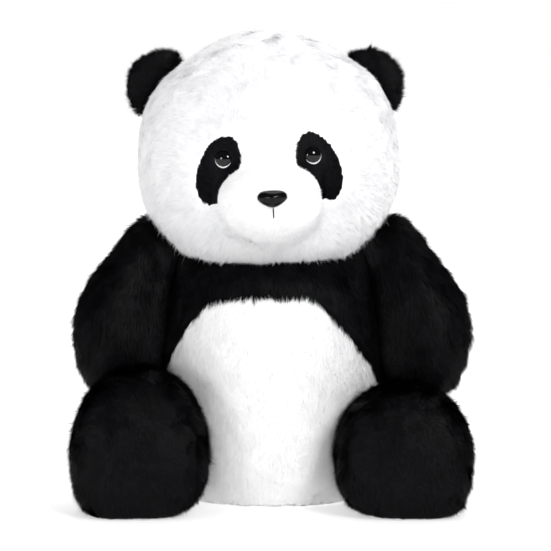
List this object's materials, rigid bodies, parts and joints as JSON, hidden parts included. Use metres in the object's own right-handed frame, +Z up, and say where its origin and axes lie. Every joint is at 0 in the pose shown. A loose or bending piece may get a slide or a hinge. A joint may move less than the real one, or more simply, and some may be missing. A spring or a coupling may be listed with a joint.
{
  "type": "plush panda",
  "caption": "Seated plush panda with a turning, nodding head, swinging sewn arms, lifting legs, flexing ears, set-in eyes and nose, and a flat weighted seat.",
  "frame": {"origin": "middle of the flat seat, on the ground", "axes": "+Z up, the toy's own left along +X, the face looks along -Y"},
  "size_m": [0.3816, 0.2785, 0.4488],
  "materials": {
    "white_fur": "long-pile faux fur",
    "white_belly_fur": "medium-pile faux fur",
    "white_clipped_fur": "clipped plush",
    "black_fur": "long-pile faux fur",
    "black_clipped_fur": "clipped plush",
    "black_thread": "stitched thread",
    "fibre_filling": "loose polyester fibre",
    "calico": "plain woven bag",
    "gloss_black_plastic": "polished",
    "eye_lens_plastic": "polished dome",
    "milky_plastic": "moulded"
  },
  "bodies": {
    "torso": {"seat_panel": "white_fur", "belly_panel": "white_belly_fur", "chest_yoke_panel": "black_fur", "back_yoke_panel": "black_fur", "left_lower_back_panel": "white_fur", "right_lower_back_panel": "white_fur", "pellet_bag": "calico", "body_stuffing": "fibre_filling", "tail": "white_fur"},
    "neck": {"neck_stuffing": "fibre_filling"},
    "head": {"head_stuffing": "fibre_filling", "forehead_panel": "white_fur", "head_left_side_panel": "white_fur", "head_left_back_panel": "white_fur", "head_right_side_panel": "white_fur", "head_right_back_panel": "white_fur", "muzzle_panel": "white_clipped_fur", "chin_panel": "white_clipped_fur", "muzzle_stuffing": "fibre_filling", "nose": "gloss_black_plastic", "nose_washer": "milky_plastic", "mouth_stitch": "black_thread", "left_eye_patch": "black_clipped_fur", "left_eye_lens": "eye_lens_plastic", "left_eye_back": "gloss_black_plastic", "left_eye_washer": "milky_plastic", "right_eye_patch": "black_clipped_fur", "right_eye_lens": "eye_lens_plastic", "right_eye_back": "gloss_black_plastic", "right_eye_washer": "milky_plastic"},
    "left_ear": {"left_ear_front_panel": "black_fur", "left_ear_back_panel": "black_fur"},
    "left_arm": {"left_arm_outer_panel": "black_fur", "left_arm_inner_panel": "black_fur", "left_arm_stuffing": "fibre_filling"},
    "left_leg": {"left_leg_upper_panel": "black_fur", "left_leg_lower_panel": "black_fur", "left_sole": "black_fur", "left_leg_stuffing": "fibre_filling"},
    "right_ear": {"right_ear_front_panel": "black_fur", "right_ear_back_panel": "black_fur"},
    "right_arm": {"right_arm_outer_panel": "black_fur", "right_arm_inner_panel": "black_fur", "right_arm_stuffing": "fibre_filling"},
    "right_leg": {"right_leg_upper_panel": "black_fur", "right_leg_lower_panel": "black_fur", "right_sole": "black_fur", "right_leg_stuffing": "fibre_filling"}
  },
  "joints": [
    {"name": "neck_nod", "type": "hinge", "parent": "torso", "child": "neck", "pos_m": [0, 0.004, 0.256], "axis": [1, 0, 0], "range_deg": [-7, 7], "stiffness_Nm_per_rad": 4},
    {"name": "head_turn", "type": "hinge", "parent": "neck", "child": "head", "pos_m": [0, 0.004, 0.256], "axis": [0, 0, 1], "range_deg": [-25, 25], "stiffness_Nm_per_rad": 0.6},
    {"name": "left_ear_fold", "type": "hinge", "parent": "head", "child": "left_ear", "pos_m": [0.09715, 0.006, 0.40274], "axis": [0.7133, 0, -0.7009], "range_deg": [-12, 12], "stiffness_Nm_per_rad": 0.05},
    {"name": "right_ear_fold", "type": "hinge", "parent": "head", "child": "right_ear", "pos_m": [-0.10957, 0.006, 0.39372], "axis": [0.6494, 0, 0.7604], "range_deg": [-12, 12], "stiffness_Nm_per_rad": 0.05},
    {"name": "left_shoulder_swing", "type": "hinge", "parent": "torso", "child": "left_arm", "pos_m": [0.08879, 0.003, 0.222], "axis": [0.9703, 0, 0.2419], "range_deg": [-70, 15], "stiffness_Nm_per_rad": 0.25},
    {"name": "right_shoulder_swing", "type": "hinge", "parent": "torso", "child": "right_arm", "pos_m": [-0.08879, 0.003, 0.222], "axis": [0.9703, 0, -0.2419], "range_deg": [-70, 15], "stiffness_Nm_per_rad": 0.25},
    {"name": "left_hip_lift", "type": "hinge", "parent": "torso", "child": "left_leg", "pos_m": [0.122, -0.072, 0.06], "axis": [1, 0, 0], "range_deg": [-16, 0], "stiffness_Nm_per_rad": 1},
    {"name": "right_hip_lift", "type": "hinge", "parent": "torso", "child": "right_leg", "pos_m": [-0.122, -0.072, 0.06], "axis": [1, 0, 0], "range_deg": [-16, 0], "stiffness_Nm_per_rad": 1}
  ]
}
